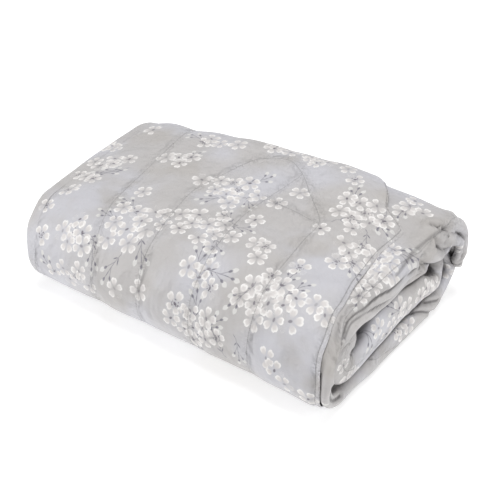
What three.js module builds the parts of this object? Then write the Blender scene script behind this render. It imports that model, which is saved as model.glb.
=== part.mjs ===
// A quilted bedspread, folded back and forth into a strip of four layers and rolled up flat.
// Millimetres, +Z up. X runs along the packet, from its smooth folded end to its layered end.
// Y runs from the round front fold to the back. The packet lies on Z = 0, with the origin under its middle.

import * as THREE from "three";

// Cloth
const LAYER = 5.2; // thickness of one padded layer
const SEAM = 2.4; // thickness along a quilting seam and at the hem
const HEM = 8; // width of the turned hem
const HEM_RISE = 8; // width over which the padding rises behind the hem
const FIRST_SEAM = 51; // distance of the first quilting seam from the layered end
const SEAM_SPACING = 109; // distance between two quilting seams
const SEAM_SWING = 12; // how far a seam swings to each side
const SWING_LENGTH = 430; // length of one swing of a seam
const PUFF = 26; // width over which a puff rises from its seam

// Packet
const LENGTH = 645; // from end to end
const DEPTH = 430; // from the front fold to the back
const PASS_GAP = 2; // air between two turns of the roll
const SLOT = 12; // open slot in the middle of the roll
const LOOSE = 4; // slack between the two passes below the slot
const TIGHT_PITCH = 6.4; // from layer to layer of the strip, in the passes above the slot
const LOFTY_PITCH = 10.5; // the same in the passes below it
const CURL_SLACK = 7; // room between the back fold and the curl over it
const INNER_SLACK = 4; // room between the outer and the inner folds of the roll
const INNER_END_Y = -112; // where the cloth ends inside the roll
const CURL_END = -14; // degrees, where the outer end of the cloth stops behind the back

// Slump of the soft packet: how far its top rises, as shares of the height
const RISE = { middle: 0.03, along: 0.07, across: 0.08, corner: 0.055 };
const DROOP = { ends: 0.065, layeredEnd: 0.2, foldedEnd: 0.06 };
const EDGE_DROOP_POWER = 4; // how sharply the two ends fall off

// How far the packet is pushed out of square, in millimetres
const SKEW = -10.5;
const TAPER = 9.5;
const LEAN_BACK = 17;
const LEAN_LEFT = 5;

const HALF_LENGTH = LENGTH / 2;
const TIGHT_STRIP = 3 * TIGHT_PITCH + LAYER;
const LOFTY_STRIP = 3 * LOFTY_PITCH + LAYER;

// Height of the middle of each pass of the roll
const BOTTOM_PASS = LOFTY_STRIP / 2;
const LOWER_PASS = BOTTOM_PASS + LOFTY_STRIP + LOOSE;
const MIDDLE_PASS = LOWER_PASS + LOFTY_STRIP / 2 + SLOT + TIGHT_STRIP / 2;
const UPPER_PASS = MIDDLE_PASS + TIGHT_STRIP + PASS_GAP;
const TOP_PASS = UPPER_PASS + TIGHT_STRIP + PASS_GAP;
const TOP = TOP_PASS + TIGHT_STRIP / 2;

// Folds of the roll, from the outside in: arcs in the YZ plane, with angles from +Y over +Z
const FRONT_RADIUS = (TOP_PASS - BOTTOM_PASS) / 2;
const BACK_RADIUS = (UPPER_PASS - BOTTOM_PASS) / 2;
const INNER_RADIUS = (UPPER_PASS - LOWER_PASS) / 2;
const TONGUE_RADIUS = (MIDDLE_PASS - LOWER_PASS) / 2;
const BACK_Z = BOTTOM_PASS + BACK_RADIUS;
const CURL_RADIUS = TOP_PASS - BACK_Z;
const FRONT_Y = FRONT_RADIUS + (TIGHT_STRIP + LOFTY_STRIP) / 4 - DEPTH / 2;
const BACK_Y = DEPTH / 2 - CURL_RADIUS - TIGHT_STRIP / 2 + TIGHT_PITCH - CURL_SLACK;

const FOLDS = [
  { y: BACK_Y + CURL_SLACK, z: BACK_Z, radius: CURL_RADIUS, from: CURL_END, to: 90 },
  { y: FRONT_Y, z: TOP_PASS - FRONT_RADIUS, radius: FRONT_RADIUS, from: 90, to: 270 },
  { y: BACK_Y, z: BACK_Z, radius: BACK_RADIUS, from: -90, to: 90 },
  { y: FRONT_Y + INNER_SLACK, z: LOWER_PASS + INNER_RADIUS, radius: INNER_RADIUS, from: 90, to: 270 },
  { y: BACK_Y - INNER_SLACK, z: LOWER_PASS + TONGUE_RADIUS, radius: TONGUE_RADIUS, from: -90, to: 90 },
  { y: INNER_END_Y, z: MIDDLE_PASS, radius: 0, from: 90, to: 90 },
];
const LAST_STATION = 2 * FOLDS.length - 2;
const UNDERSIDE = { from: 3, to: 4 };

// Ends of the strip at stations along the roll: 0 to 1 is the back curl, 1 to 2 the top pass,
// 2 to 3 the front fold, 3 to 4 the bottom pass, 4 to 5 the back fold, 5 to 6 the upper pass,
// 6 to 7 the inner front fold, 7 to 8 the lower pass, 8 to 9 the tongue and 9 to 10 the middle pass.
// lip: how far the rounded lip at the layered end stands back from that end
// hem, inner: how far the outer and the inner hem stand back from the lip
// out, in: half thickness of the lip on the outer and the inner side of the strip
// fold: how far the folded end stands back from the other end
// pitch: from layer to layer of the strip
const ENDS = [
  { at: 0, lip: 4, hem: 70, inner: 24, out: 9, in: 10, fold: 22, pitch: TIGHT_PITCH },
  { at: 0.4, lip: 8, hem: 62, inner: 38, out: 9, in: 26, fold: 16, pitch: TIGHT_PITCH },
  { at: 0.75, lip: 12, hem: 50, inner: 48, out: 9, in: 44, fold: 9, pitch: TIGHT_PITCH },
  { at: 1, lip: 15, hem: 44, inner: 50, out: 9, in: 50, fold: 6, pitch: TIGHT_PITCH },
  { at: 1.25, lip: 19, hem: 40, inner: 48, out: 9, in: 48, fold: 2, pitch: TIGHT_PITCH },
  { at: 1.5, lip: 22, hem: 43, inner: 44, out: 9, in: 39, fold: 0, pitch: TIGHT_PITCH },
  { at: 1.75, lip: 24, hem: 38, inner: 38, out: 9, in: 29, fold: 2, pitch: TIGHT_PITCH },
  { at: 2, lip: 24, hem: 30, inner: 24, out: 8, in: 11, fold: 4, pitch: TIGHT_PITCH },
  { at: 2.25, lip: 23, hem: 21, inner: 20, out: 6, in: 6, fold: 14, pitch: 7 },
  { at: 2.5, lip: 22, hem: 11, inner: 18, out: 5, in: 5, fold: 26, pitch: 7.5 },
  { at: 3, lip: 28, hem: 18, inner: 20, out: 9, in: 10, fold: 30, pitch: LOFTY_PITCH },
  { at: 3.3, lip: 22, hem: 24, inner: 26, out: 14, in: 21, fold: 20, pitch: LOFTY_PITCH },
  { at: 4, lip: 14, hem: 26, inner: 24, out: 14, in: 18, fold: 8, pitch: LOFTY_PITCH },
  { at: 4.4, lip: 14, hem: 22, inner: 20, out: 10, in: 10, fold: 13, pitch: 7.5 },
  { at: 4.55, lip: 30, hem: 20, inner: 20, out: 8, in: 9, fold: 14, pitch: 7.3 },
  { at: 4.8, lip: 53, hem: 20, inner: 20, out: 6, in: 8, fold: 12, pitch: 7 },
  { at: 5, lip: 58, hem: 20, inner: 20, out: 4, in: 8, fold: 10, pitch: TIGHT_PITCH },
  { at: 5.5, lip: 55, hem: 20, inner: 20, out: 4, in: 8, fold: 9, pitch: TIGHT_PITCH },
  { at: 5.8, lip: 50, hem: 20, inner: 20, out: 3, in: 8, fold: 8, pitch: TIGHT_PITCH },
  { at: 5.9, lip: 38, hem: 20, inner: 20, out: 3, in: 12, fold: 8, pitch: TIGHT_PITCH },
  { at: 6, lip: 26, hem: 22, inner: 30, out: 9, in: 26, fold: 8, pitch: TIGHT_PITCH },
  { at: 6.5, lip: 24, hem: 22, inner: 34, out: 17, in: 28, fold: 14, pitch: 8.5 },
  { at: 7, lip: 23, hem: 24, inner: 34, out: 8, in: 29, fold: 10, pitch: LOFTY_PITCH },
  { at: 7.1, lip: 22, hem: 24, inner: 38, out: 8, in: 34, fold: 10, pitch: LOFTY_PITCH },
  { at: 7.25, lip: 21, hem: 26, inner: 46, out: 8, in: 55, fold: 10, pitch: LOFTY_PITCH },
  { at: 7.5, lip: 20, hem: 26, inner: 46, out: 8, in: 50, fold: 10, pitch: LOFTY_PITCH },
  { at: 7.8, lip: 17, hem: 26, inner: 42, out: 8, in: 37, fold: 10, pitch: LOFTY_PITCH },
  { at: 8, lip: 14, hem: 26, inner: 28, out: 9, in: 15, fold: 10, pitch: LOFTY_PITCH },
  { at: 8.5, lip: 18, hem: 20, inner: 24, out: 10, in: 14, fold: 14, pitch: 7.5 },
  { at: 8.85, lip: 46, hem: 20, inner: 20, out: 7, in: 9, fold: 12, pitch: 7 },
  { at: 9, lip: 52, hem: 20, inner: 20, out: 5, in: 6, fold: 10, pitch: TIGHT_PITCH },
  { at: 10, lip: 52, hem: 20, inner: 20, out: 5, in: 6, fold: 16, pitch: TIGHT_PITCH },
];
// How far the round of a lip reaches out: at least this, and a share of half the lip's thickness on top
const LIP_DEPTH = { least: 4, share: 0.2 };
const LIP_ROOM = 6; // least distance from a lip at which the layer beside a hem turns off towards it

// The outer hem is pulled askew: its corner lies on the top and the rest runs off behind the back
const CORNER_START = 1.235; // station of the corner
const FAR_START = 0.3; // station of the far end of the outer hem
const ASKEW_UNTIL = 2; // station from which the cloth lies straight again
const ASKEW = 190; // length of the askew stretch along X
const ASKEW_LIFT = 3.5; // how loosely the outer layer lies behind the back
const LIFT_SHARE = 0.3; // of the back curl, over which it comes loose

// Rows along the roll and columns across the strip, as stretches of equal steps.
// Columns: 0 to 1 is the outer layer, 2 to 3, 4 to 5 and 6 to 7 are the next ones, with folds between.
const ROWS = stations([
  { to: 0.055, steps: 1 },
  { to: 1, steps: 5 },
  { to: 2, steps: 6 },
  { to: 3, steps: 7 },
  { to: 4, steps: 2 },
  { to: 5, steps: 6 },
  { to: 5.8, steps: 1 },
  { to: 6, steps: 2 },
  { to: 7, steps: 5 },
  { to: 7.25, steps: 2 },
  { to: 8, steps: 2 },
  { to: 9, steps: 4 },
  { to: 9.96, steps: 1 },
  { to: LAST_STATION, steps: 1 },
]);
// The wide steps of all four layers lie over each other, and the ends of the layers have their own.
const LAST_COLUMN = 7;
const HEM_SHARE = 0.013;
const END_SHARE = 0.13; // share of a layer that has steps of its own
const HEM_LINE = END_SHARE / 2; // place on the layer beside it where a hem lies
const COLUMNS = stations([
  { to: HEM_SHARE, steps: 1 },
  { to: END_SHARE, steps: 2 },
  { to: 1, steps: 12 },
  { to: 2, steps: 3 },
  { to: 3 - END_SHARE, steps: 6 },
  { to: 3, steps: 2 },
  { to: 4, steps: 4 },
  { to: 4 + END_SHARE, steps: 2 },
  { to: 5, steps: 6 },
  { to: 6, steps: 3 },
  { to: LAST_COLUMN - END_SHARE, steps: 6 },
  { to: LAST_COLUMN - HEM_SHARE, steps: 1 },
  { to: LAST_COLUMN, steps: 1 },
]);
const NUDGE = 0.01; // share of a column to each side, for the direction of the cloth
const FINE_ROWS = 2; // finer steps in each row of the face that shows
const FINE_COLUMNS = 3;
const SHOWN_ROWS = 3; // the top and the front fold
const SHOWN_COLUMNS = 1; // the outer layer

function stations(stretches) {
  const list = [0];
  for (const { to, steps } of stretches) {
    const from = list[list.length - 1];
    for (let step = 1; step <= steps; step += 1) {
      list.push(from + ((to - from) * step) / steps);
    }
  }
  return list;
}

const { clamp, degToRad, lerp, smoothstep } = THREE.MathUtils;

// A column of the ENDS table, eased between its rows
function endValue(name, station) {
  const next = Math.max(1, ENDS.findIndex((row) => row.at >= station));
  const before = ENDS[next - 1];
  const after = ENDS[next];
  return lerp(before[name], after[name], smoothstep(station, before.at, after.at));
}

// Middle line of the roll at a station: its place and the angle of its outward normal
function rollAt(station) {
  const piece = Math.min(Math.floor(station), LAST_STATION - 1);
  const share = station - piece;
  const fold = FOLDS[Math.floor(piece / 2)];
  if (piece % 2 === 0) {
    return onArc(fold, degToRad(lerp(fold.from, fold.to, share)));
  }
  const start = onArc(fold, degToRad(fold.to));
  const next = FOLDS[(piece + 1) / 2];
  const end = onArc(next, degToRad(next.from));
  return { y: lerp(start.y, end.y, share), z: lerp(start.z, end.z, share), angle: end.angle };
}

function onArc(fold, angle) {
  return { y: fold.y + fold.radius * Math.cos(angle), z: fold.z + fold.radius * Math.sin(angle), angle };
}

// Length of the outer layer from the start of the roll to each whole station
const LENGTHS = [0];
for (let piece = 0; piece < LAST_STATION; piece += 1) {
  const fold = FOLDS[Math.floor(piece / 2)];
  const radius = fold.radius + 1.5 * TIGHT_PITCH;
  const arc = radius * degToRad(fold.to - fold.from);
  const run = Math.abs(rollAt(piece + 1).y - rollAt(piece).y);
  LENGTHS.push(LENGTHS[piece] + (piece % 2 === 0 ? arc : run));
}

function lengthAt(station) {
  const piece = Math.min(Math.floor(station), LAST_STATION - 1);
  return lerp(LENGTHS[piece], LENGTHS[piece + 1], station - piece);
}

// Middle line of the folded strip at a column: x along the packet, d outwards from the middle of the strip
function stripAt(station, column) {
  const lipEnd = HALF_LENGTH - endValue("lip", station);
  const out = endValue("out", station);
  const inside = endValue("in", station);
  const half = (out + inside) / 2;
  const lipDepth = LIP_DEPTH.least + LIP_DEPTH.share * half;
  const lipX = lipEnd - LAYER / 2 - lipDepth;
  const hemX = lipEnd - endValue("hem", station);
  const innerX = lipEnd - endValue("inner", station);
  const bend = endValue("pitch", station) / 2;
  const bendX = endValue("fold", station) - HALF_LENGTH + LAYER / 2 + bend;
  const zone = clamp(Math.floor(column), 0, LAST_COLUMN - 1);
  const share = column - zone;
  const turn = Math.PI * (0.5 + share);
  const wideX = (fromEnd) => lerp(lipX, bendX, fromEnd);
  const hemmedX = (hem, fromEnd) =>
    fromEnd > END_SHARE ? wideX(fromEnd) : lerp(hem, wideX(END_SHARE), fromEnd / END_SHARE);
  const besideX = (hem, fromEnd) =>
    fromEnd > HEM_LINE
      ? hemmedX(hem, Math.min(fromEnd, 2 * fromEnd - END_SHARE))
      : lerp(lipX, hem, fromEnd / HEM_LINE);
  switch (zone) {
    case 0: {
      const lift = ASKEW_LIFT * smoothstep(1 + LIFT_SHARE - station, 0, LIFT_SHARE) * (1 - share);
      return { x: hemmedX(hemX, share), d: 3 * bend + lift };
    }
    case 1:
      return { x: bendX + bend * Math.cos(turn), d: 2 * bend + bend * Math.sin(turn) };
    case 2: {
      const turnX = Math.min(hemX, lipX - LIP_ROOM);
      const x = besideX(turnX, 1 - share);
      return { x, d: lerp(bend, out, smoothstep(x, turnX, lipX)) };
    }
    case 3: {
      const x = lipX + lipDepth * Math.sin(Math.PI * share);
      return { x, d: out - half + half * Math.cos(Math.PI * share) };
    }
    case 4: {
      const x = besideX(innerX, share);
      return { x, d: -lerp(bend, inside, smoothstep(x, innerX, lipX)) };
    }
    case 5:
      return { x: bendX + bend * Math.cos(turn), d: -2 * bend + bend * Math.sin(turn) };
    default:
      return { x: hemmedX(innerX, 1 - share), d: -3 * bend };
  }
}

// Station where the outer end of the cloth lies, for a row's own station, column and place along X
function askewStation(station, column, x, hemX) {
  if (station >= ASKEW_UNTIL) return station;
  const reach = clamp((hemX - x) / ASKEW, 0, 1);
  const outerStart = lerp(CORNER_START, FAR_START, Math.sin((reach * Math.PI) / 2));
  const start = outerStart * (1 - clamp(column - 1, 0, 1));
  return lerp(start, ASKEW_UNTIL, station / ASKEW_UNTIL);
}

// Distance across the flat cloth from the layered end, for the quilting
function acrossAt(column, x) {
  const zone = clamp(Math.floor(column), 0, LAST_COLUMN - 1);
  const layer = Math.round(zone / 2);
  const fromEnd = layer % 2 === 0 ? HALF_LENGTH - x : HALF_LENGTH + x;
  return layer * LENGTH + fromEnd;
}

// Distance to the nearest quilting seam: waves along the roll, each the mirror image of the next
function seamDistance(along, across) {
  const swing = SEAM_SWING * Math.cos((2 * Math.PI * along) / SWING_LENGTH);
  const nearest = Math.round((across - FIRST_SEAM) / SEAM_SPACING);
  let distance = SEAM_SPACING;
  for (let seam = nearest - 1; seam <= nearest + 1; seam += 1) {
    const wave = seam % 2 === 0 ? swing : -swing;
    distance = Math.min(distance, Math.abs(across - FIRST_SEAM - seam * SEAM_SPACING - wave));
  }
  return distance;
}

// Thickness of the cloth: full on a puff, thin along a seam and in the hem
function thicknessAt(along, across, edge) {
  const puff = Math.sqrt(smoothstep(seamDistance(along, across), 0, PUFF));
  const hem = smoothstep(edge, HEM, HEM + HEM_RISE);
  return lerp(SEAM, LAYER, Math.min(puff, hem));
}

// Soft slump of the whole packet, which keeps its underside flat
function slump(x, y, z) {
  const along = x / HALF_LENGTH;
  const across = y / (DEPTH / 2);
  const height = z / TOP;
  const rise = RISE.middle + RISE.along * along + RISE.across * across + RISE.corner * along * across;
  const endDroop = along > 0 ? DROOP.layeredEnd : DROOP.foldedEnd;
  const droop = DROOP.ends * along ** 2 + endDroop * Math.abs(along) ** EDGE_DROOP_POWER;
  return [
    x + SKEW * across + TAPER * along * across - LEAN_LEFT * height,
    y + LEAN_BACK * height + (TAPER / 2) * along * across,
    z * (1 + rise - droop),
  ];
}

// Direction of the printed face at a column of the strip
function normalAt(station, column) {
  const before = stripAt(station, Math.max(column - NUDGE, 0));
  const after = stripAt(station, Math.min(column + NUDGE, LAST_COLUMN));
  const length = Math.hypot(after.x - before.x, after.d - before.d);
  return { x: (after.d - before.d) / length, d: (before.x - after.x) / length };
}

// Distance to the nearest edge of the cloth
function edgeDistance(rowStation, station, column, x) {
  const lipEnd = HALF_LENGTH - endValue("lip", station);
  const fromStart = lengthAt(rowStation);
  const distances = [fromStart, LENGTHS[LAST_STATION] - fromStart];
  if (column < 1) distances.push(lipEnd - endValue("hem", station) - x);
  if (column > LAST_COLUMN - 1) distances.push(lipEnd - endValue("inner", station) - x);
  return Math.min(...distances);
}

// A point of the cloth's printed face (face 1) or of its back (face -1).
// Along a seam the cloth is thin about its middle, and at the hem it lies flat on the layer below.
// The underside of the packet is pressed flat by its own weight.
function clothPoint(face, rowStation, column) {
  const lipEnd = HALF_LENGTH - endValue("lip", rowStation);
  const unmoved = stripAt(rowStation, column);
  const hemX = lipEnd - endValue("hem", rowStation);
  const station = askewStation(rowStation, column, unmoved.x, hemX);
  const middle = stripAt(station, column);
  const normal = normalAt(station, column);
  const edge = edgeDistance(rowStation, station, column, middle.x);
  const thinning = LAYER - thicknessAt(lengthAt(station), acrossAt(column, middle.x), edge);
  const hemShare = 1 - smoothstep(edge, HEM, HEM + HEM_RISE);
  const isPressed = column < 1 && station >= UNDERSIDE.from && station <= UNDERSIDE.to;
  const upper = LAYER / 2 - (isPressed ? 0 : (thinning * (1 + hemShare)) / 2);
  const lower = LAYER / 2 - (thinning * (1 - hemShare)) / 2;
  const offset = face > 0 ? upper : -lower;
  const x = middle.x + normal.x * offset;
  const d = middle.d + normal.d * offset;
  const roll = rollAt(station);
  return slump(x, roll.y + d * Math.cos(roll.angle), roll.z + d * Math.sin(roll.angle));
}

// The closed skin of the cloth. Each cell between two rows and two columns is a pair of triangles,
// a fine patch where it shows, or a fan where only some of its sides are fine.
class Skin {
  constructor() {
    this.positions = [];
    this.triangles = [];
    this.known = new Map();
  }

  // Index of the vertex at a fine row and column of one face
  vertex(face, row, column) {
    const key = `${face} ${row} ${column}`;
    if (!this.known.has(key)) {
      this.known.set(key, this.positions.length / 3);
      const rowStation = between(ROWS, row, FINE_ROWS);
      this.positions.push(...clothPoint(face, rowStation, between(COLUMNS, column, FINE_COLUMNS)));
    }
    return this.known.get(key);
  }

  triangle(face, a, b, c) {
    this.triangles.push(...(face > 0 ? [a, b, c] : [a, c, b]));
  }

  quad(face, a, b, c, d) {
    this.triangle(face, a, b, c);
    this.triangle(face, a, c, d);
  }
}

function between(list, index, parts) {
  const whole = Math.min(Math.floor(index / parts), list.length - 2);
  return lerp(list[whole], list[whole + 1], index / parts - whole);
}

function isFine(face, row, column) {
  const inRows = row > 0 && row < ROWS.length - 2 && ROWS[row + 1] <= SHOWN_ROWS;
  const inColumns = column > 0 && column < COLUMNS.length - 2 && COLUMNS[column + 1] <= SHOWN_COLUMNS;
  return face > 0 && inRows && inColumns;
}

function addFineCell(skin, face, row, column) {
  for (let i = 0; i < FINE_ROWS; i += 1) {
    for (let j = 0; j < FINE_COLUMNS; j += 1) {
      const r = row * FINE_ROWS + i;
      const c = column * FINE_COLUMNS + j;
      skin.quad(
        face,
        skin.vertex(face, r, c),
        skin.vertex(face, r, c + 1),
        skin.vertex(face, r + 1, c + 1),
        skin.vertex(face, r + 1, c),
      );
    }
  }
}

function addCoarseCell(skin, face, row, column) {
  const r = row * FINE_ROWS;
  const c = column * FINE_COLUMNS;
  const rim = [];
  const side = (isSideFine, steps, rowStep, columnStep, startRow, startColumn) => {
    const stride = isSideFine ? 1 : steps;
    for (let step = 0; step < steps; step += stride) {
      rim.push(skin.vertex(face, startRow + rowStep * step, startColumn + columnStep * step));
    }
  };
  side(isFine(face, row - 1, column), FINE_COLUMNS, 0, 1, r, c);
  side(isFine(face, row, column + 1), FINE_ROWS, 1, 0, r, c + FINE_COLUMNS);
  side(isFine(face, row + 1, column), FINE_COLUMNS, 0, -1, r + FINE_ROWS, c + FINE_COLUMNS);
  side(isFine(face, row, column - 1), FINE_ROWS, -1, 0, r + FINE_ROWS, c);
  if (rim.length === 4) {
    skin.quad(face, ...rim);
    return;
  }
  const middle = skin.vertex(face, r + FINE_ROWS / 2, c + FINE_COLUMNS / 2);
  rim.forEach((corner, index) => skin.triangle(face, middle, corner, rim[(index + 1) % rim.length]));
}

// The narrow edge of the hem, all round the cloth
function addRim(skin) {
  const lastRow = ROWS.length - 1;
  const lastColumn = COLUMNS.length - 1;
  const corners = [];
  for (let column = 0; column < lastColumn; column += 1) corners.push([0, column]);
  for (let row = 0; row < lastRow; row += 1) corners.push([row, lastColumn]);
  for (let column = lastColumn; column > 0; column -= 1) corners.push([lastRow, column]);
  for (let row = lastRow; row > 0; row -= 1) corners.push([row, 0]);
  corners.forEach(([row, column], index) => {
    const [nextRow, nextColumn] = corners[(index + 1) % corners.length];
    skin.quad(
      1,
      skin.vertex(1, row * FINE_ROWS, column * FINE_COLUMNS),
      skin.vertex(-1, row * FINE_ROWS, column * FINE_COLUMNS),
      skin.vertex(-1, nextRow * FINE_ROWS, nextColumn * FINE_COLUMNS),
      skin.vertex(1, nextRow * FINE_ROWS, nextColumn * FINE_COLUMNS),
    );
  });
}

function centreOverOrigin(geometry) {
  geometry.computeBoundingBox();
  const middle = geometry.boundingBox.getCenter(new THREE.Vector3());
  geometry.translate(-middle.x, -middle.y, 0);
}

function clothGeometry() {
  const skin = new Skin();
  for (const face of [1, -1]) {
    for (let row = 0; row < ROWS.length - 1; row += 1) {
      for (let column = 0; column < COLUMNS.length - 1; column += 1) {
        const addCell = isFine(face, row, column) ? addFineCell : addCoarseCell;
        addCell(skin, face, row, column);
      }
    }
  }
  addRim(skin);
  const geometry = new THREE.BufferGeometry();
  geometry.setAttribute("position", new THREE.Float32BufferAttribute(skin.positions, 3));
  geometry.setIndex(skin.triangles);
  centreOverOrigin(geometry);
  geometry.computeVertexNormals();
  return geometry;
}

const cloth = new THREE.MeshStandardMaterial({ color: 0xc8c5c1, roughness: 0.62, metalness: 0 });
const bedspread = new THREE.Mesh(clothGeometry(), cloth);
bedspread.name = "quilted_bedspread";

const group = new THREE.Group();
group.add(bedspread);

export default group;
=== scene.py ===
"""A printed, quilted bedspread, folded into a strip of four layers and rolled up flat.

The cloth is one sheet. Its shape is worked out in millimetres from nearly the same sizes as the CAD
part, with the puffs, seams, hems and creases added, and it is written to the mesh in metres.
"""

import math
import random

import bpy
import numpy as np
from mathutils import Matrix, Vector


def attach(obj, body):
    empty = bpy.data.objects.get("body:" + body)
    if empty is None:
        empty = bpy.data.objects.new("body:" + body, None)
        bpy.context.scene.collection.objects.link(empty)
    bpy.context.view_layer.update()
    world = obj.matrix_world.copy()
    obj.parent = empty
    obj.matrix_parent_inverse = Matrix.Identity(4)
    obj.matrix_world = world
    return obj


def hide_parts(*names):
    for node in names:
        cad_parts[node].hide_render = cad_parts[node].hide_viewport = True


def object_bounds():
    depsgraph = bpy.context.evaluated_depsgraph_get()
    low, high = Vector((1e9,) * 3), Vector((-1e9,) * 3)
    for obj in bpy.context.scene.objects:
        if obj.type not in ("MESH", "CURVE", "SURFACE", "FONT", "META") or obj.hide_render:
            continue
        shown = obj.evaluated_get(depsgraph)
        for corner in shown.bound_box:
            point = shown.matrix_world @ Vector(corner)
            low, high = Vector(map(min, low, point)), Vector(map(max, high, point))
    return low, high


MM = 0.001

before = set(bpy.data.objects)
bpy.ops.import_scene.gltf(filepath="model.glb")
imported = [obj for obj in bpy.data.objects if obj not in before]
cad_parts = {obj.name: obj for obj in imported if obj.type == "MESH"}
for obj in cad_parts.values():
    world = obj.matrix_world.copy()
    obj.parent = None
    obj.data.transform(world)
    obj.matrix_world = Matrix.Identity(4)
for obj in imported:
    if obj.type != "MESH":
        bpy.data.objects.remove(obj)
cad_low, cad_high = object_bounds()

# Cloth, in millimetres
LAYER = 5.2  # thickness of a padded layer
SEAM = 2.4  # thickness along a quilting seam
HEM_EDGE = 2.6  # thickness of the turned hem
HEM = 8.0  # width of the hem
HEM_STITCH = 6.8  # distance of its stitching from the edge
STITCH_WIDTH = 1.1  # half width of the groove along the stitching
STITCH_DEPTH = 0.8
HEM_ROUND = 1.5  # width of the rounded edge
LEAST_ROUND = 0.04  # square of the share of the thickness that is left at the very edge
HEM_RISE = 9.0  # width over which the padding rises behind the hem
FIRST_SEAM = 51.0  # distance of the first quilting seam from the layered end
SEAM_SPACING = 109.0  # distance between two quilting seams
SEAM_SWING = 12.0  # how far a seam of the hidden layers swings to each side
SWING_LENGTH = 430.0  # length of one swing
PUFF = 30.0  # width over which a puff rises from its seam
PUFF_RISE = 1.0  # how far a puff swells beyond the layer's thickness where it is free
SWELL = 48.0  # distance from a seam at which a free puff is fullest

# Packet
LAYERS = 4  # layers of the folded strip
LENGTH = 645.0
DEPTH = 430.0
PASS_GAP = 2.0  # gap between two tight passes of the strip
SLOT = 12.0  # height of the slot at the layered end
LOOSE = 4.0  # gap between the two lowest passes
TIGHT_PITCH = 6.4  # from layer to layer where the strip is tight
LOFTY_PITCH = 10.5  # from layer to layer where it is lofty
CURL_SLACK = 7.0  # how far the outer curl stands behind the fold under it
INNER_SLACK = 4.0  # how far the inner folds stay inside the outer ones
INNER_END_Y = -112.0  # where the inner end of the roll lies
CURL_END = -14.0  # angle of the free end of the outer curl, in degrees
LIP_DEPTH = {"least": 4.0, "share": 0.2}  # the share is of half the lip's height
LIP_ROOM = 6.0  # least length over which a layer rises to its lip

# Slump of the soft packet: shares of its height, then shifts
RISE = {"middle": 0.03, "along": 0.07, "across": 0.08, "corner": 0.057}
DROOP = {"ends": 0.065, "layered": 0.2, "folded": 0.06}
EDGE_DROOP_POWER = 4  # how closely the droop keeps to the two ends
SKEW = -10.5  # shift in x from the middle to the back
TAPER = 9.5  # how much further out each end lies at the back
LEAN_BACK = 17.0  # how far the top lies behind the underside
LEAN_LEFT = 5.0  # and to its left

HALF_LENGTH = LENGTH / 2
TIGHT_STRIP = (LAYERS - 1) * TIGHT_PITCH + LAYER
LOFTY_STRIP = (LAYERS - 1) * LOFTY_PITCH + LAYER
BOTTOM_PASS = LOFTY_STRIP / 2
LOWER_PASS = BOTTOM_PASS + LOFTY_STRIP + LOOSE
MIDDLE_PASS = LOWER_PASS + LOFTY_STRIP / 2 + SLOT + TIGHT_STRIP / 2
UPPER_PASS = MIDDLE_PASS + TIGHT_STRIP + PASS_GAP
TOP_PASS = UPPER_PASS + TIGHT_STRIP + PASS_GAP
TOP = TOP_PASS + TIGHT_STRIP / 2

FRONT_RADIUS = (TOP_PASS - BOTTOM_PASS) / 2
BACK_RADIUS = (UPPER_PASS - BOTTOM_PASS) / 2
INNER_RADIUS = (UPPER_PASS - LOWER_PASS) / 2
TONGUE_RADIUS = (MIDDLE_PASS - LOWER_PASS) / 2
BACK_Z = BOTTOM_PASS + BACK_RADIUS
CURL_RADIUS = TOP_PASS - BACK_Z
FRONT_Y = FRONT_RADIUS + (TIGHT_STRIP + LOFTY_STRIP) / 4 - DEPTH / 2
BACK_Y = DEPTH / 2 - CURL_RADIUS - TIGHT_STRIP / 2 + TIGHT_PITCH - CURL_SLACK

# Folds of the roll, from the outside in: y, z, radius, first and last angle in degrees
FOLDS = np.array([
    (BACK_Y + CURL_SLACK, BACK_Z, CURL_RADIUS, CURL_END, 90),
    (FRONT_Y, TOP_PASS - FRONT_RADIUS, FRONT_RADIUS, 90, 270),
    (BACK_Y, BACK_Z, BACK_RADIUS, -90, 90),
    (FRONT_Y + INNER_SLACK, LOWER_PASS + INNER_RADIUS, INNER_RADIUS, 90, 270),
    (BACK_Y - INNER_SLACK, LOWER_PASS + TONGUE_RADIUS, TONGUE_RADIUS, -90, 90),
    (INNER_END_Y, MIDDLE_PASS, 0, 90, 90),
], float)
LAST_STATION = 2 * len(FOLDS) - 2

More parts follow.
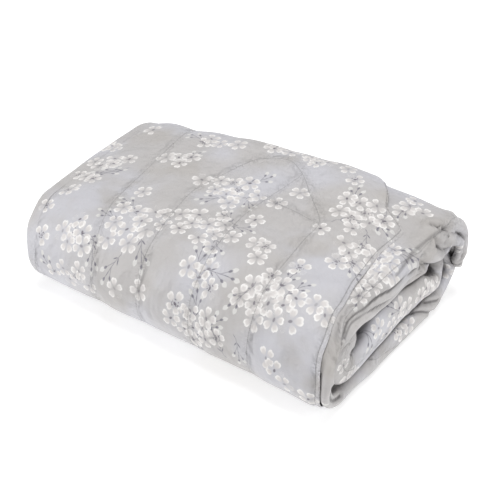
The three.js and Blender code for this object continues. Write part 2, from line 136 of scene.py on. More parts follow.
# Ends of the strip at stations along the roll: 0 to 1 is the back curl, 1 to 2 the top pass,
# 2 to 3 the front fold, 3 to 4 the bottom pass, 4 to 5 the back fold, 5 to 6 the upper pass,
# 6 to 7 the inner front fold, 7 to 8 the lower pass, 8 to 9 the tongue and 9 to 10 the middle pass.
# lip and fold are how far the two ends stay behind the packet's, hem and inner how far the cloth's
# edges stay behind the lip, out and in how far the lip opens to both sides of the strip's middle, and
# pitch the distance from layer to layer.
END_NAMES = ("at", "lip", "hem", "inner", "out", "in", "fold", "pitch")
ENDS = np.array([
    (0, 8, 70, 24, 9, 10, 22, TIGHT_PITCH),
    (0.4, 6, 62, 38, 9, 26, 16, TIGHT_PITCH),
    (0.75, 10, 50, 48, 9, 44, 9, TIGHT_PITCH),
    (1, 15, 44, 50, 9, 50, 6, TIGHT_PITCH),
    (1.25, 19, 40, 48, 9, 48, 2, TIGHT_PITCH),
    (1.5, 22, 43, 44, 9, 39, 0, TIGHT_PITCH),
    (1.75, 24, 38, 38, 9, 29, 2, TIGHT_PITCH),
    (2, 24, 30, 24, 8, 11, 4, TIGHT_PITCH),
    (2.25, 23, 21, 20, 6, 6, 14, 7),
    (2.5, 22, 11, 18, 5, 5, 26, 7.5),
    (3, 28, 18, 20, 9, 10, 30, LOFTY_PITCH),
    (3.3, 22, 24, 26, 14, 21, 20, LOFTY_PITCH),
    (4, 14, 26, 24, 14, 18, 8, LOFTY_PITCH),
    (4.4, 14, 22, 20, 10, 10, 13, 7.5),
    (4.55, 30, 20, 20, 8, 9, 14, 7.3),
    (4.8, 53, 20, 20, 6, 8, 12, 7),
    (5, 58, 20, 20, 4, 8, 10, TIGHT_PITCH),
    (5.5, 55, 20, 20, 4, 8, 9, TIGHT_PITCH),
    (5.8, 50, 20, 20, 3, 8, 8, TIGHT_PITCH),
    (5.9, 38, 20, 20, 3, 12, 8, TIGHT_PITCH),
    (6, 26, 22, 30, 9, 26, 8, TIGHT_PITCH),
    (6.5, 24, 22, 34, 17, 28, 14, 8.5),
    (7, 23, 24, 34, 8, 29, 10, LOFTY_PITCH),
    (7.1, 22, 24, 38, 8, 34, 10, LOFTY_PITCH),
    (7.25, 21, 26, 46, 8, 55, 10, LOFTY_PITCH),
    (7.5, 20, 26, 46, 8, 50, 10, LOFTY_PITCH),
    (7.8, 17, 26, 42, 8, 37, 10, LOFTY_PITCH),
    (8, 14, 26, 28, 9, 15, 10, LOFTY_PITCH),
    (8.5, 18, 20, 24, 10, 14, 14, 7.5),
    (8.85, 46, 20, 20, 7, 9, 12, 7),
    (9, 52, 20, 20, 5, 6, 10, TIGHT_PITCH),
    (10, 52, 20, 20, 5, 6, 16, TIGHT_PITCH),
], float)

# The outer hem is pulled askew: its corner lies on the top, and the rest runs off behind the back
CORNER_START = 1.235  # station of the corner
FAR_START = 0.3  # station of the far part of this edge
ASKEW_UNTIL = 2.0  # station from which all rows run straight
ASKEW = 190.0  # width over which the edge runs off
ASKEW_LIFT = 3.5  # how far the hem stands up from the layer under it
LIFT_SHARE = 0.3  # stations over which this lift fades

# Steps of the mesh: (up to, steps) along the roll and across the strip. Whole columns are the ends of
# the layers and of the turns between them.
END_SHARE = 0.13  # share of a layer's width that lies near its lip or hem
LAST_COLUMN = 2 * LAYERS - 1
ROW_STEPS = (
    (0.04, 1), (0.1, 1), (1, 13), (2, 18), (3, 18), (4, 16), (5, 16),
    (6, 9), (7, 12), (8, 9), (9, 10), (9.96, 9), (10, 1),
)
COLUMN_STEPS = (
    (0.012, 1), (0.024, 1), (END_SHARE, 4), (1, 34), (2, 4), (3 - END_SHARE, 8), (3, 6),
    (4, 4), (4 + END_SHARE, 5), (5, 8), (6, 4), (7 - END_SHARE, 8), (6.976, 3), (6.988, 1), (7, 1),
)
FINE = 4  # finer steps in each cell that shows
SHOWN_UNTIL = 3.35  # last station of the outer face that shows
LIP_FROM = 2.88  # columns of the lips that show
LIP_TO = 4.12
CLOSE = 1e-6

# Where the waves, the puffs and the listed seams end, as columns or stations
FOLDED_END = (0.9, 1.0)
SEAMS_END = (0.94, 1.0)
FRONT_FOOT = (2.5, 2.95)
LIP_BEGIN = (2.85, 3.1)
LIP_END = (3.9, 4.1)
NONE_NEAR = 1e3  # distance given where no edge or seam is near


def stations(stretches):
    """Values from 0 on, in the steps of each stretch."""
    values = [0.0]
    for to, steps in stretches:
        start = values[-1]
        values += [start + (to - start) * step / steps for step in range(1, steps + 1)]
    return np.array(values)


def finer(values):
    """Each step of a list divided into FINE steps."""
    index = np.arange((len(values) - 1) * FINE + 1) / FINE
    return np.interp(index, np.arange(len(values)), values)


def smooth(value, low, high):
    """Eases from 0 to 1 as the value goes from low to high."""
    share = np.clip((value - low) / (high - low), 0, 1)
    return share * share * (3 - 2 * share)


def mix(a, b, share):
    return a + (b - a) * share


def end_value(name, station):
    """A column of the ENDS table, eased between its rows."""
    at = ENDS[:, 0]
    row = np.clip(np.searchsorted(at, station), 1, len(at) - 1)
    values = ENDS[:, END_NAMES.index(name)]
    share = smooth(station, at[row - 1], at[row])
    return mix(values[row - 1], values[row], share)


def on_arc(fold, angle):
    """y and z at an angle on a fold's arc."""
    centre_y, centre_z, radius = fold[..., 0], fold[..., 1], fold[..., 2]
    return centre_y + radius * np.cos(angle), centre_z + radius * np.sin(angle)


def roll_at(station):
    """Middle line of the roll at a station: y, z and the angle of its outward normal."""
    piece = np.clip(np.floor(station), 0, LAST_STATION - 1).astype(int)
    share = station - piece
    fold = FOLDS[piece // 2]
    following = FOLDS[np.minimum((piece + 1) // 2, len(FOLDS) - 1)]
    arc_angle = np.radians(mix(fold[..., 3], fold[..., 4], share))
    arc_y, arc_z = on_arc(fold, arc_angle)
    y0, z0 = on_arc(fold, np.radians(fold[..., 4]))
    y1, z1 = on_arc(following, np.radians(following[..., 3]))
    is_arc = piece % 2 == 0
    y = np.where(is_arc, arc_y, mix(y0, y1, share))
    z = np.where(is_arc, arc_z, mix(z0, z1, share))
    return y, z, np.where(is_arc, arc_angle, np.radians(following[..., 3]))


def roll_lengths():
    """Length of the outer layer from the start of the roll to each whole station."""
    lengths = [0.0]
    ends = roll_at(np.arange(LAST_STATION + 1.0))[0]
    outer_layer = (LAYERS - 1) / 2 * TIGHT_PITCH
    for piece in range(LAST_STATION):
        fold = FOLDS[piece // 2]
        arc = (fold[2] + outer_layer) * math.radians(fold[4] - fold[3])
        run = abs(ends[piece + 1] - ends[piece])
        lengths.append(lengths[-1] + (arc if piece % 2 == 0 else run))
    return np.array(lengths)


LENGTHS = roll_lengths()


def length_at(station):
    return np.interp(station, np.arange(LAST_STATION + 1), LENGTHS)


def strip_at(station, column):
    """Middle line of the folded strip: x along the packet, d outwards from the middle of the strip."""
    lip_end = HALF_LENGTH - end_value("lip", station)
    out = end_value("out", station)
    inside = end_value("in", station)
    half = (out + inside) / 2
    lip_depth = LIP_DEPTH["least"] + LIP_DEPTH["share"] * half
    lip_x = lip_end - LAYER / 2 - lip_depth
    hem_x = lip_end - end_value("hem", station)
    inner_x = lip_end - end_value("inner", station)
    bend = end_value("pitch", station) / 2
    bend_x = end_value("fold", station) - HALF_LENGTH + LAYER / 2 + bend
    zone = np.clip(np.floor(column), 0, LAST_COLUMN - 1).astype(int)
    share = column - zone
    turn = np.pi * (0.5 + share)

    def wide(from_end):
        return mix(lip_x, bend_x, from_end)

    def hemmed(hem, from_end):
        near = mix(hem, wide(END_SHARE), from_end / END_SHARE)
        return np.where(from_end > END_SHARE, wide(from_end), near)

    def beside(hem, from_end):
        line = END_SHARE / 2
        far = hemmed(hem, np.minimum(from_end, 2 * from_end - END_SHARE))
        return np.where(from_end > line, far, mix(lip_x, hem, from_end / line))

    lift = ASKEW_LIFT * smooth(1 + LIFT_SHARE - station, 0, LIFT_SHARE) * (1 - share)
    turn_x = np.minimum(hem_x, lip_x - LIP_ROOM)
    x2 = beside(turn_x, 1 - share)
    x4 = beside(inner_x, share)
    folded_x = bend_x + bend * np.cos(turn)
    x = np.choose(zone, [
        hemmed(hem_x, share),
        folded_x,
        x2,
        lip_x + lip_depth * np.sin(np.pi * share),
        x4,
        folded_x,
        hemmed(inner_x, 1 - share),
    ])
    d = np.choose(zone, [
        3 * bend + lift,
        2 * bend + bend * np.sin(turn),
        mix(bend, out, smooth(x2, turn_x, lip_x)),
        out - half + half * np.cos(np.pi * share),
        -mix(bend, inside, smooth(x4, inner_x, lip_x)),
        -2 * bend + bend * np.sin(turn),
        -3 * bend,
    ])
    return x, d


def askew_station(station, column, x, hem_x):
    """Station where the outer end of the cloth lies, for a row's own station, column and x."""
    reach = np.clip((hem_x - x) / ASKEW, 0, 1)
    outer_start = mix(CORNER_START, FAR_START, np.sin(reach * np.pi / 2))
    start = outer_start * (1 - np.clip(column - 1, 0, 1))
    return np.where(station >= ASKEW_UNTIL, station, mix(start, ASKEW_UNTIL, station / ASKEW_UNTIL))


def nearer(distance, best):
    """The smaller of two signed distances."""
    return np.where(np.abs(distance) < np.abs(best), distance, best)


def wave_distance(along, across):
    """Signed distance to the nearest of the wavy seams of the hidden layers."""
    from_end = HALF_LENGTH - across - FIRST_SEAM
    swing = SEAM_SWING * np.cos(2 * np.pi * along / SWING_LENGTH)
    nearest = np.round(from_end / SEAM_SPACING)
    best = np.full(np.shape(across), SEAM_SPACING)
    for step in (-1, 0, 1):
        seam = nearest + step
        wave = np.where(seam % 2 == 0, swing, -swing)
        best = nearer(from_end - seam * SEAM_SPACING - wave, best)
    return best


def slump(x, y, z):
    """Places of the soft packet for places of the plain one."""
    along = x / HALF_LENGTH
    across = y / (DEPTH / 2)
    height = z / TOP
    rise = RISE["middle"] + RISE["along"] * along + RISE["across"] * across
    rise = rise + RISE["corner"] * along * across
    end_droop = np.where(along > 0, DROOP["layered"], DROOP["folded"])
    droop = DROOP["ends"] * along**2 + end_droop * np.abs(along) ** EDGE_DROOP_POWER
    return np.stack([
        x + SKEW * across + TAPER * along * across - LEAN_LEFT * height,
        y + LEAN_BACK * height + TAPER / 2 * along * across,
        z * (1 + rise - droop),
    ], -1)


# Quilting seams on the part of the outer layer that shows, as places on the flat cloth (x, along)
SEAM_LINES = (
    ((-300, 40), (-303, 200), (-308, 330), (-307, 383), (-296, 428), (-291, 461), (-292, 501),
     (-285, 524), (-274, 600), (-270, 720)),
    ((-205, 40), (-200, 180), (-188, 299), (-181, 390), (-165, 443), (-154, 487), (-147, 532),
     (-150, 720)),
    ((-50, 720), (-52, 570), (-50, 522), (-53, 480), (-55, 440), (-66, 395), (-76, 320), (-64, 262),
     (-38, 197), (-8, 172), (22, 166), (60, 191), (101, 236), (140, 276), (152, 300), (152, 340),
     (156, 423), (162, 516), (163, 600), (160, 720)),
    ((53, 720), (52, 584), (51, 516), (50, 460), (42, 397), (39, 345), (43, 295), (48, 252), (58, 192)),
    ((44, 280), (68, 284), (111, 287), (150, 293)),
)
SEAM_STEP = 6.0  # length of the straight pieces a seam line is divided into


def curve_through(points):
    """A smooth line through the points, as close places."""
    points = np.array(points, float)
    padded = np.vstack([2 * points[0] - points[1], points, 2 * points[-1] - points[-2]])
    places = []
    for a, b, c, d in zip(padded[:-3], padded[1:-2], padded[2:-1], padded[3:]):
        steps = max(2, int(np.linalg.norm(c - b) / SEAM_STEP))
        t = np.linspace(0, 1, steps, endpoint=False)[:, None]
        bend = 2 * a - 5 * b + 4 * c - d
        twist = 3 * (b - c) + d - a
        places.append(b + 0.5 * t * ((c - a) + t * (bend + t * twist)))
    return np.vstack(places + [points[-1:]])


def line_distance(x, y, line):
    """Signed distance from places to a line of short straight pieces."""
    best = np.full(x.shape, NONE_NEAR)
    for (x0, y0), (x1, y1) in zip(line[:-1], line[1:]):
        dx, dy = x1 - x0, y1 - y0
        share = np.clip(((x - x0) * dx + (y - y0) * dy) / (dx * dx + dy * dy), 0, 1)
        distance = np.hypot(x - x0 - share * dx, y - y0 - share * dy)
        side = np.where((x - x0) * dy - (y - y0) * dx < 0, -1.0, 1.0)
        best = nearer(side * distance, best)
    return best


SHOULDER = 0.3  # how far the cloth swells beside a crease, as a share of its depth

# Creases at the layered end, as places on the flat cloth (x, along), with the depth and the width of each
DEEP_CREASES = (
    (11, 4.5, ((-922, 182), (-936, 172), (-944, 157), (-952, 124), (-947, 70), (-938, 30))),
    (11, 4.5, ((-945, 200), (-958, 190), (-975, 165), (-976, 110), (-965, 60), (-950, 10))),
    (10, 5, ((-950, 246), (-964, 230), (-985, 205), (-1000, 170))),
    (5, 5, ((-924, 120), (-922, 80), (-915, 30))),
    (6, 4, ((-962, 190), (-957, 150), (-962, 120), (-955, 90))),
)
PRESSED_CREASES = (
    (4.0, 3.0, ((-917, 458), (-922, 417), (-930, 392), (-937, 356), (-947, 324), (-951, 298),
                (-957, 266), (-969, 226))),
    (3.6, 3.0, ((-923, 455), (-929, 417), (-940, 385), (-960, 338), (-968, 305), (-972, 269),
                (-980, 235))),
    (3.5, 3.5, ((-929, 1680), (-935, 1701), (-932, 1730))),
    (3.5, 3.5, ((-966, 850), (-957, 879), (-938, 914), (-930, 925))),
    (3.5, 3.5, ((-967, 895), (-958, 918), (-950, 935))),
    (3.5, 3.5, ((-897, 540), (-893, 580), (-891, 641))),
    (2.4, 5.0, ((-938, 172), (-936, 212), (-934, 251), (-937, 277), (-938, 310))),
)

# Depths of the creases that scale the painted shade at their bottom
DEEP_VALLEY = 10.0
PRESSED_VALLEY = 3.6

# The free end of the strip is tucked in at the layered end, for the first rows
TUCK = {"in": 20.0, "until": 0.6, "from_x": 250.0, "to_x": 305.0}

# Soft waves of the cloth: length across, length along, phase and height
WAVES = (
    (310, 420, 0.6, 1.1), (-170, 260, 2.1, 1.0), (95, 340, 4.0, 0.7), (-120, -150, 5.2, 0.6),
    (60, 210, 1.1, 0.35),
)


def wave_height(across, along):
    """How far the waves lift the cloth."""
    height = 0
    for length_across, length_along, phase, size in WAVES:
        turn = 2 * np.pi * (across / length_across + along / length_along) + phase
        height = height + size * np.sin(turn)
    return height


def crease_depth(across, along, creases):
    """How far the cloth is pushed in at places of the flat cloth."""
    depth = np.zeros(across.shape)
    for deepest, width, points in creases:
        points = np.array(points, float)
        reach = 4 * width
        low, high = points.min(0) - reach, points.max(0) + reach
        near = (across > low[0]) & (across < high[0]) & (along > low[1]) & (along < high[1])
        distance = line_distance(across[near], along[near], curve_through(points))
        valley = np.exp(-((distance / width) ** 2))
        shoulder = np.exp(-(((np.abs(distance) - 2 * width) / width) ** 2))
        depth[near] += deepest * (valley - SHOULDER * shoulder)
    return depth


def hand_seams(across, along):
    """Signed distance to the nearest of the listed seams."""
    best = np.full(across.shape, NONE_NEAR)
    for points in SEAM_LINES:
        best = nearer(line_distance(across, along, curve_through(points)), best)
    return best


def face_direction(middle):
    """Direction of the printed face at every place of the grid."""
    down = np.gradient(middle, axis=0)
    over = np.gradient(middle, axis=1)
    normal = np.cross(over, down)
    return normal / np.linalg.norm(normal, axis=-1, keepdims=True)


def cloth_grid():
    """The whole sheet at its finest steps: both faces, flat places, and distances to hem and seam."""
    row = finer(stations(ROW_STEPS))[:, None]
    column = finer(stations(COLUMN_STEPS))[None, :]
    row, column = np.broadcast_arrays(row, column)
    unmoved_x = strip_at(row, column)[0]
    hem_x = HALF_LENGTH - end_value("lip", row) - end_value("hem", row)
    station = askew_station(row, column, unmoved_x, hem_x)
    x, d = strip_at(station, column)
    y, z, angle = roll_at(station)
    tucked = (1 - smooth(row, 0, TUCK["until"])) * smooth(x, TUCK["from_x"], TUCK["to_x"])
    d = d - TUCK["in"] * tucked
    middle = slump(x, y + d * np.cos(angle), z + d * np.sin(angle))

    steps = np.hypot(np.diff(x, axis=1), np.diff(d, axis=1))
    reach = np.concatenate([np.zeros((len(x), 1)), np.cumsum(steps, axis=1)], axis=1)
    first_fold = int(np.argmin(np.abs(column[0] - 1)))
    across = x[:, first_fold:first_fold + 1] + reach[:, first_fold:first_fold + 1] - reach
    along = length_at(station)

    on_top = (1 - smooth(column, *FOLDED_END)) * (1 - smooth(station, *FRONT_FOOT))
    on_lip = smooth(column, *LIP_BEGIN) * (1 - smooth(column, *LIP_END))
    pushed = crease_depth(across, along, DEEP_CREASES)
    pressed = crease_depth(across, along, PRESSED_CREASES)
    # Share of painted shade at the bottom of the creases, for the material
    valley = np.maximum(pushed / DEEP_VALLEY, pressed / PRESSED_VALLEY)
    push = pushed + on_lip * wave_height(across, along)
    lift = on_top * wave_height(across, along)
    middle = middle + face_direction(middle) * (push + lift)[..., None]
    normal = face_direction(middle)

    from_start = length_at(row)
    lip_end = HALF_LENGTH - end_value("lip", station)
    to_hem = np.where(column < 1, lip_end - end_value("hem", station) - x, NONE_NEAR)
    is_inner = column > LAST_COLUMN - 1
    to_inner = np.where(is_inner, lip_end - end_value("inner", station) - x, NONE_NEAR)
    edge = np.minimum.reduce([from_start, LENGTHS[-1] - from_start, to_hem, to_inner])

    seam = wave_distance(along, across)
    puff = np.sqrt(smooth(np.abs(seam), 0, PUFF))
    outer = (column < 1) & (station < SHOWN_UNTIL)
    placed = np.full(seam.shape, NONE_NEAR)
    placed[outer] = hand_seams(across[outer], along[outer])
    by_hand = np.where(outer, 1 - smooth(column, *SEAMS_END), 0)
    puff = mix(puff, np.sqrt(smooth(np.abs(placed), 0, PUFF)), by_hand)
    seam = np.where(by_hand > 0.5, placed, seam)
    swell = 2 * PUFF_RISE * on_top * smooth(np.abs(seam), 0, SWELL)
    thickness = mix(SEAM, LAYER + swell, puff)
    hem_share = 1 - smooth(edge, HEM, HEM + HEM_RISE)
    stitch = np.exp(-((edge - HEM_STITCH) / STITCH_WIDTH) ** 2)
    from_round = 1 - np.clip(edge / HEM_ROUND, 0, 1)
    rounding = np.sqrt(np.clip(1 - from_round**2, LEAST_ROUND, 1))
    hem_thickness = HEM_EDGE * rounding - STITCH_DEPTH * stitch
    thickness = mix(thickness, hem_thickness, hem_share)
    is_pressed = (column < 1) & (station >= 3) & (station <= 4)
    upper = LAYER / 2 - (LAYER - thickness) * (1 + hem_share) / 2
    upper = np.where(is_pressed, LAYER / 2, upper)
    lower = LAYER / 2 - (LAYER - thickness) * (1 - hem_share) / 2
    lower = np.minimum(lower, LAYER / 2) - pressed
    return {
        "front": middle + normal * upper[..., None],
        "back": middle - normal * lower[..., None],
        "across": across,
        "along": along,
        "edge": edge,
        "seam": seam,
        "valley": valley,
    }


def shown_cells(face, row, column):
    """Which cells are given finer steps: the outer face where it shows, and the lips at the layered end."""
    row = row[1:, None]
    low, high = column[None, :-1], column[None, 1:]
    if face > 0:
        return (row <= SHOWN_UNTIL) & (high <= 1 + CLOSE)
    return (row > 0) & (low >= LIP_FROM) & (high <= LIP_TO)


def cloth_faces():
    """Faces of the closed skin, as tuples of (face, fine row, fine column)."""
    row = stations(ROW_STEPS)
    column = stations(COLUMN_STEPS)
    rows, columns = len(row) - 1, len(column) - 1
    faces = []

    def add(face, corners):
        corners = [(face, r, c) for r, c in corners]
        faces.append(corners[::-1] if face > 0 else corners)

    fine_cells = {}
    for face in (1, -1):
        fine = shown_cells(face, row, column)
        padded = np.zeros((rows + 2, columns + 2), bool)
        padded[1:-1, 1:-1] = fine
        fine_cells[face] = fine
        for i, j in np.ndindex(rows, columns):
            r, c = i * FINE, j * FINE
            if fine[i, j]:
                for a in range(r, r + FINE):
                    for b in range(c, c + FINE):
                        add(face, [(a, b), (a + 1, b), (a + 1, b + 1), (a, b + 1)])
                continue
            sides = [
                (padded[i + 1, j], [(r + k, c) for k in range(FINE)]),
                (padded[i + 2, j + 1], [(r + FINE, c + k) for k in range(FINE)]),
                (padded[i + 1, j + 2], [(r + FINE - k, c + FINE) for k in range(FINE)]),
                (padded[i, j + 1], [(r, c + FINE - k) for k in range(FINE)]),
            ]
            rim = []
            for is_fine, points in sides:
                rim += points if is_fine else points[:1]
            if len(rim) == 4:
                add(face, rim)
                continue
            centre = (r + FINE // 2, c + FINE // 2)
            for k in range(len(rim)):
                add(face, [centre, rim[k], rim[(k + 1) % len(rim)]])

    def rim_points(fine):
        """Fine places along one edge of the cloth, for the row or column of cells beside it."""
        points = []
        for cell, is_fine in enumerate(fine):
            points += range(cell * FINE, (cell + 1) * FINE, 1 if is_fine else FINE)
        return points + [len(fine) * FINE]

    def join(cells, place, flip):
        """Triangles between the two faces along one edge of the cloth."""
        line_front, line_back = (rim_points(fine_cells[face][cells]) for face in (1, -1))
        i = j = 0
        while i < len(line_front) - 1 or j < len(line_back) - 1:
            take_front = j == len(line_back) - 1 or (
                i < len(line_front) - 1 and line_front[i + 1] <= line_back[j + 1]
            )
            front, back = (1, *place(line_front[i])), (-1, *place(line_back[j]))
            if take_front:
                i += 1
                corners = [front, (1, *place(line_front[i])), back]
            else:
                j += 1
                corners = [front, (-1, *place(line_back[j])), back]
            faces.append(corners if flip else corners[::-1])

    join(np.s_[0, :], lambda k: (0, k), False)
    join(np.s_[-1, :], lambda k: (rows * FINE, k), True)
    join(np.s_[:, 0], lambda k: (k, 0), True)
    join(np.s_[:, -1], lambda k: (k, columns * FINE), False)
    return faces


# Print: blossoms and sprigs as places on the flat cloth, in millimetres
BLOSSOM = 19.5  # radius of a blossom
SPRIG = 32.0  # half the length of a sprig
BLOSSOM_SLOTS = 3  # blossoms that may lie over each other at one place
SPRIG_SLOTS = 2
GOLDEN_TURN = math.pi * (3 - math.sqrt(5))
SCATTER = 165.0  # distance between the scattered clusters of the parts that hardly show
FAR = 9.0  # place given where nothing is printed, well outside every motif
BLOSSOM_SIZES = (0.88, 1.04)
SPRIG_SIZES = (0.85, 1.1)  # of the listed sprigs
CLUSTER_SPRIG_SIZES = (0.8, 1.05)
SPRIG_TURN = 0.6  # how far the sprigs of a cluster may turn from pointing outwards
BLOSSOMS_PER_SPRIG = 4
FIRST_RING = 0.35  # how far out the first blossom of a cluster lies

# Clusters where the cloth shows: x, along, reach in x, reach along, blossoms, or x and along of one blossom
CLUSTERS = (
    (-257, 291, 30, 24, 3), (-272, 350, 34, 66, 7), (-300, 245, 8, 28, 2), (-156, 252, 30, 26, 4),
    (-120, 168, 48, 17, 4), (-268, 169), (0, 135, 64, 15, 6), (90, 145, 42, 12, 3),
    (-197, 488, 30, 30, 6), (-107, 435, 54, 52, 10), (-147, 363), (-15, 287, 46, 40, 9),
    (7, 393, 62, 46, 11), (60, 475, 34, 20, 4), (112, 398, 16, 30, 3), (-82, 283), (63, 341), (66, 283),
    (178, 394), (-76, 397), (-274, 414), (144, 169), (-192, 560, 54, 18, 6), (-93, 544), (-46, 533),
    (60, 547, 50, 32, 11), (174, 465, 50, 42, 12), (256, 447), (216, 551), (232, 569), (272, 575),
    (190, 240, 42, 46, 9), (228, 320, 32, 37, 6), (159, 304), (83, 239), (237, 441), (200, 539),
    (-266, 508), (-286, 459), (-908, 320, 26, 64, 12), (-880, 160, 30, 25, 4), (-952, 1630, 18, 30, 4),
    (-948, 1712, 14, 20, 3), (-967, 1572), (-937, 1599), (-952, 1745, 10, 10, 2),
    (-944, 823, 12, 22, 3), (-934, 1435), (-925, 1495, 12, 18, 3),
)

# Sprigs where the cloth shows: x, along, direction in degrees
SPRIGS = (
    (-150, 515, 75), (-108, 520, 115), (35, 452, 250), (16, 350, 215), (195, 262, -20), (232, 292, 60),
    (148, 560, 85), (108, 552, 240), (-246, 338, 150), (-60, 482, 60), (12, 238, -60), (-965, 1551, 10),
    (62, 512, 255), (228, 236, 80), (-930, 262, 200),
)

# Parts of the flat cloth that the tables above fill: lowest x, highest x, first and last length along
FILLED = (
    (-330, 400, 100, 600), (-1010, -830, 110, 470), (-1010, -880, 780, 930), (-1010, -880, 1400, 1770),
)

# Scattered clusters: steps over the flat cloth, how far a cluster strays from its step, reach, blossoms
SCATTER_X = range(-17, 3)
SCATTER_ALONG = range(12)
FIRST_STEP = 0.3
STRAY = 0.25
SCATTER_REACH = (28, 46)
SCATTER_BLOSSOMS = (4, 7)


def place_print():
    """Blossoms and sprigs as rows of x, along, size, turn and seed."""
    chance = random.Random(11)
    blossoms, sprigs = [], []

    def add(rows, x, along, size, turn):
        rows.append((x, along, size, turn, chance.uniform(0, 1)))

    def any_turn():
        return chance.uniform(0, 2 * math.pi)

    def stray():
        return chance.uniform(-STRAY, STRAY)

    def add_cluster(x, along, reach_x=0, reach_along=0, count=1):
        def place(out, turn):
            return x + reach_x * out * math.cos(turn), along + reach_along * out * math.sin(turn)

        phase = any_turn()
        for number in range(count):
            out = math.sqrt((number + FIRST_RING) / count)
            size = BLOSSOM * chance.uniform(*BLOSSOM_SIZES)
            add(blossoms, *place(out, phase + number * GOLDEN_TURN), size, any_turn())
        for _ in range(count // BLOSSOMS_PER_SPRIG):
            turn = any_turn()
            size = SPRIG * chance.uniform(*CLUSTER_SPRIG_SIZES)
            add(sprigs, *place(1, turn), size, turn + chance.uniform(-SPRIG_TURN, SPRIG_TURN))

    for x, along, degrees in SPRIGS:
        add(sprigs, x, along, SPRIG * chance.uniform(*SPRIG_SIZES), math.radians(degrees))
    for cluster in CLUSTERS:
        add_cluster(*cluster)
    for step_x in SCATTER_X:
        for step_along in SCATTER_ALONG:
            x = (step_x + stray()) * SCATTER
            along = (step_along + FIRST_STEP + stray()) * SCATTER
            if not any(low < x < high and first < along < last for low, high, first, last in FILLED):
                reach = chance.uniform(*SCATTER_REACH)
                add_cluster(x, along, reach, reach, chance.randint(*SCATTER_BLOSSOMS))
    return np.array(blossoms), np.array(sprigs)


MOTIF_REACH = 1.05  # how far a motif reaches, in parts of its size


def motif_slots(motifs, slots, face_places, face_reach):
    """Numbers of the motifs that reach each face, the last placed on top, or -1."""
    filled = np.full((slots, len(face_places)), -1)
    for number, (x, along, size, _, _) in enumerate(motifs):
        distance = np.hypot(face_places[:, 0] - x, face_places[:, 1] - along)
        near = distance < size * MOTIF_REACH + face_reach
        filled[1:, near] = filled[:-1, near]
        filled[0, near] = number
    return filled


def motif_places(motifs, numbers, places):
    """Places turned and scaled to each motif: x and y in parts of its size, and its seed."""
    x, along, size, turn, seed = motifs[numbers].T
    dx, dy = places[:, 0] - x, places[:, 1] - along
    result = np.stack([
        (dx * np.cos(turn) + dy * np.sin(turn)) / size,
        (dy * np.cos(turn) - dx * np.sin(turn)) / size,
        seed,
    ], -1)
    result[numbers < 0] = (FAR, FAR, 0)
    return result


# Cloth mesh
def link(name, data):
    """A new object of the scene."""
    item = bpy.data.objects.new(name, data)
    bpy.context.scene.collection.objects.link(item)
    return item


def add_values(mesh, name, domain, values):
    """Keeps values of the cloth's points or corners in the mesh, for the material."""
    kind, field = ("FLOAT_VECTOR", "vector") if values.ndim > 1 else ("FLOAT", "value")
    attribute = mesh.attributes.new(name, kind, domain)
    attribute.data.foreach_set(field, values.astype(np.float32).reshape(-1))


def add_print(mesh, places, index, sizes):
    """Gives each corner of each face its place in the blossoms and sprigs that reach the face."""
    corner_places = places[index]
    face_of_corner = np.repeat(np.arange(len(sizes)), sizes)
    sums = [np.bincount(face_of_corner, corner_places[:, axis]) for axis in (0, 1)]
    centres = np.stack(sums, -1) / sizes[:, None]
    offsets = np.hypot(*(corner_places - centres[face_of_corner]).T)
    reach = np.zeros(len(sizes))
    np.maximum.at(reach, face_of_corner, offsets)
    blossoms, sprigs = place_print()
    kinds = (("blossom", blossoms, BLOSSOM_SLOTS), ("sprig", sprigs, SPRIG_SLOTS))
    for name, motifs, slots in kinds:
        for slot, numbers in enumerate(motif_slots(motifs, slots, centres, reach)):
            values = motif_places(motifs, numbers[face_of_corner], corner_places)
            add_values(mesh, f"{name}_{slot}", "CORNER", values)


def build_cloth():
    """The closed thin sheet, with its low sides on those of the CAD part and its underside on the floor."""
    grid = cloth_grid()
    faces = cloth_faces()
    corners = np.array([corner for face in faces for corner in face])
    rows, columns = grid["along"].shape
    keys = ((corners[:, 0] < 0) * rows + corners[:, 1]) * columns + corners[:, 2]
    used, index = np.unique(keys, return_inverse=True)
    both = np.concatenate([grid["front"].reshape(-1, 3), grid["back"].reshape(-1, 3)])
    both[:, 2] = np.maximum(both[:, 2], 0)
    shift = np.array([cad_low[0], cad_low[1], 0]) - both.min(0) * (MM, MM, 0)
    places = both[used] * MM + shift
    sizes = np.array([len(face) for face in faces])
    starts = np.concatenate([[0], np.cumsum(sizes)])
    face_corners = [index[a:b].tolist() for a, b in zip(starts[:-1], starts[1:])]
    mesh = bpy.data.meshes.new("quilted_cloth")
    mesh.from_pydata(places.tolist(), [], face_corners)
    mesh.shade_smooth()

    def at_points(name):
        return grid[name].reshape(-1)[used % (rows * columns)]

    flat = np.stack([at_points("across"), at_points("along")], -1)
    add_values(mesh, "flat", "POINT", np.pad(flat * MM, ((0, 0), (0, 1))))
    # valley carries the painted shade at the bottom of the creases
    for name in ("edge", "seam", "valley"):
        add_values(mesh, name, "POINT", at_points(name))
    add_values(mesh, "seam_reach", "POINT", np.abs(at_points("seam")))
    add_print(mesh, flat, index, sizes)
    return link("quilted_cloth", mesh)


# Material
GREIGE = (0.470, 0.454, 0.450)
LAVENDER = (0.520, 0.516, 0.548)
TAUPE = (0.430, 0.408, 0.388)
PETAL = (0.86, 0.845, 0.83)
PETAL_BASE = (0.630, 0.602, 0.590)
HEART = (0.13, 0.115, 0.14)
LEAF = (0.15, 0.145, 0.18)
BUD = (0.66, 0.65, 0.635)
THREAD = (0.22, 0.215, 0.215)
# SHADE is the colour of the painted shade in crevices and at the bottom of creases
SHADE = (0.10, 0.095, 0.095)

# Painted shade: the cloth's colour is darkened near other cloth and at the bottom of a crease
CREVICE_SHADE = {"reach": 11 * MM, "openness": (0.78, 0.2), "shade": 0.85, "samples": 8}
VALLEY_SHADE = {"depth": (0.3, 0.85), "shade": 0.75}

